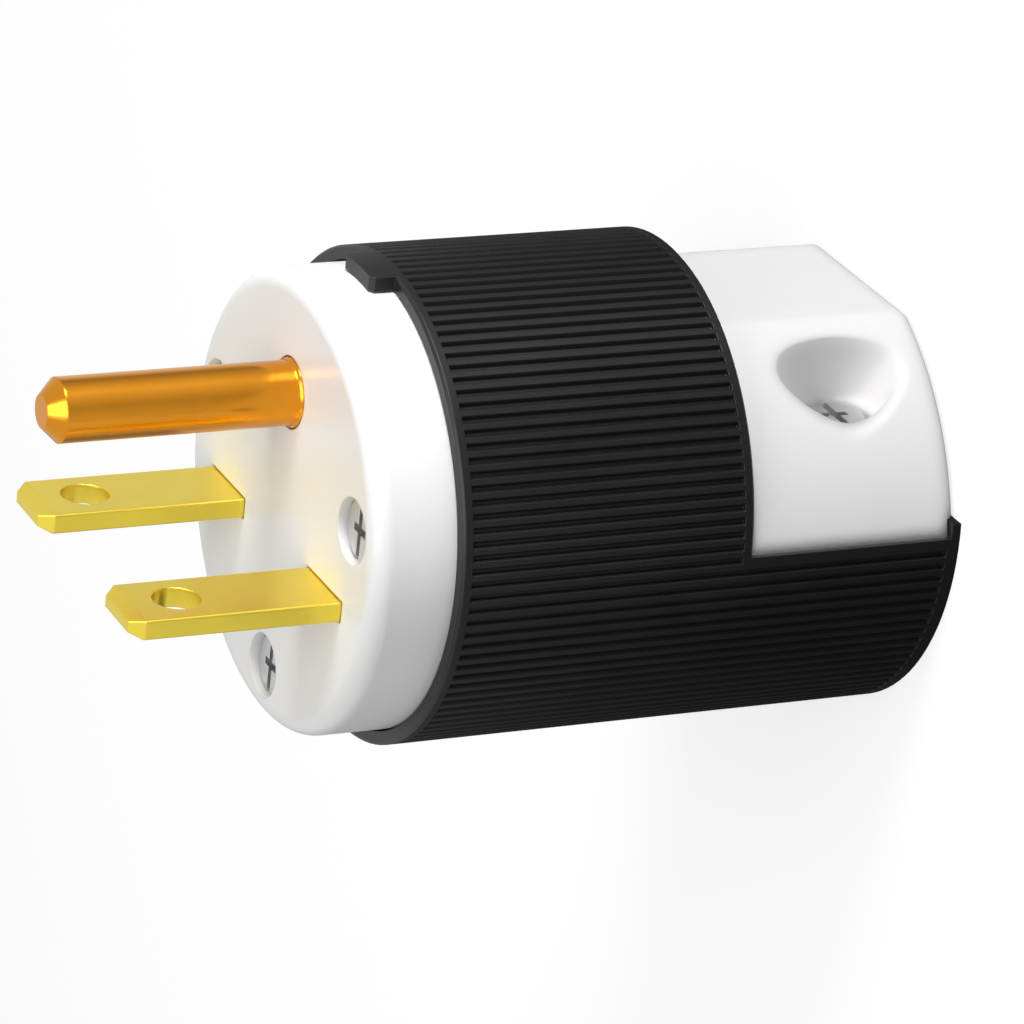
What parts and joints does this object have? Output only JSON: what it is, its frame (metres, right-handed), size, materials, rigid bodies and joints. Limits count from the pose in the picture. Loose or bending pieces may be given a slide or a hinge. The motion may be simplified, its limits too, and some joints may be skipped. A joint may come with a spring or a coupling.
{
  "type": "straight blade mains plug",
  "caption": "Rewirable straight-blade mains plug: white face with in-line brass blades and a round earth pin, black ribbed barrel, white rear cord clamp.",
  "frame": {"origin": "centre of the barrel's axis at the flat rear (cord) end that the plug stands on", "axes": "+Z along the barrel towards the blade tips, +X along the row of the line blades, +Y towards the earth pin"},
  "size_m": [0.0368, 0.0368, 0.0658],
  "materials": {
    "black_nylon": "satin moulded",
    "white_nylon": "glossy moulded",
    "inner_nylon": "satin moulded",
    "clamp_nylon": "glossy moulded",
    "blade_brass": "bright stamped",
    "pin_bronze": "bright turned",
    "terminal_brass": "plain stamped",
    "plate_steel": "plated",
    "earth_green": "green dyed plating",
    "screw_steel": "plated"
  },
  "bodies": {
    "root": {"outer_shell": "black_nylon", "front_body": "white_nylon", "terminal_cover": "inner_nylon", "cord_clamp": "clamp_nylon", "line_blade_left": "blade_brass", "line_blade_right": "blade_brass", "ground_pin": "pin_bronze", "ground_bracket": "terminal_brass", "line_plate_left": "plate_steel", "line_plate_right": "plate_steel", "ground_plate": "plate_steel", "line_terminal_screws": "terminal_brass", "ground_terminal_screw": "earth_green", "assembly_screws": "screw_steel", "clamp_screws": "screw_steel"}
  },
  "joints": []
}
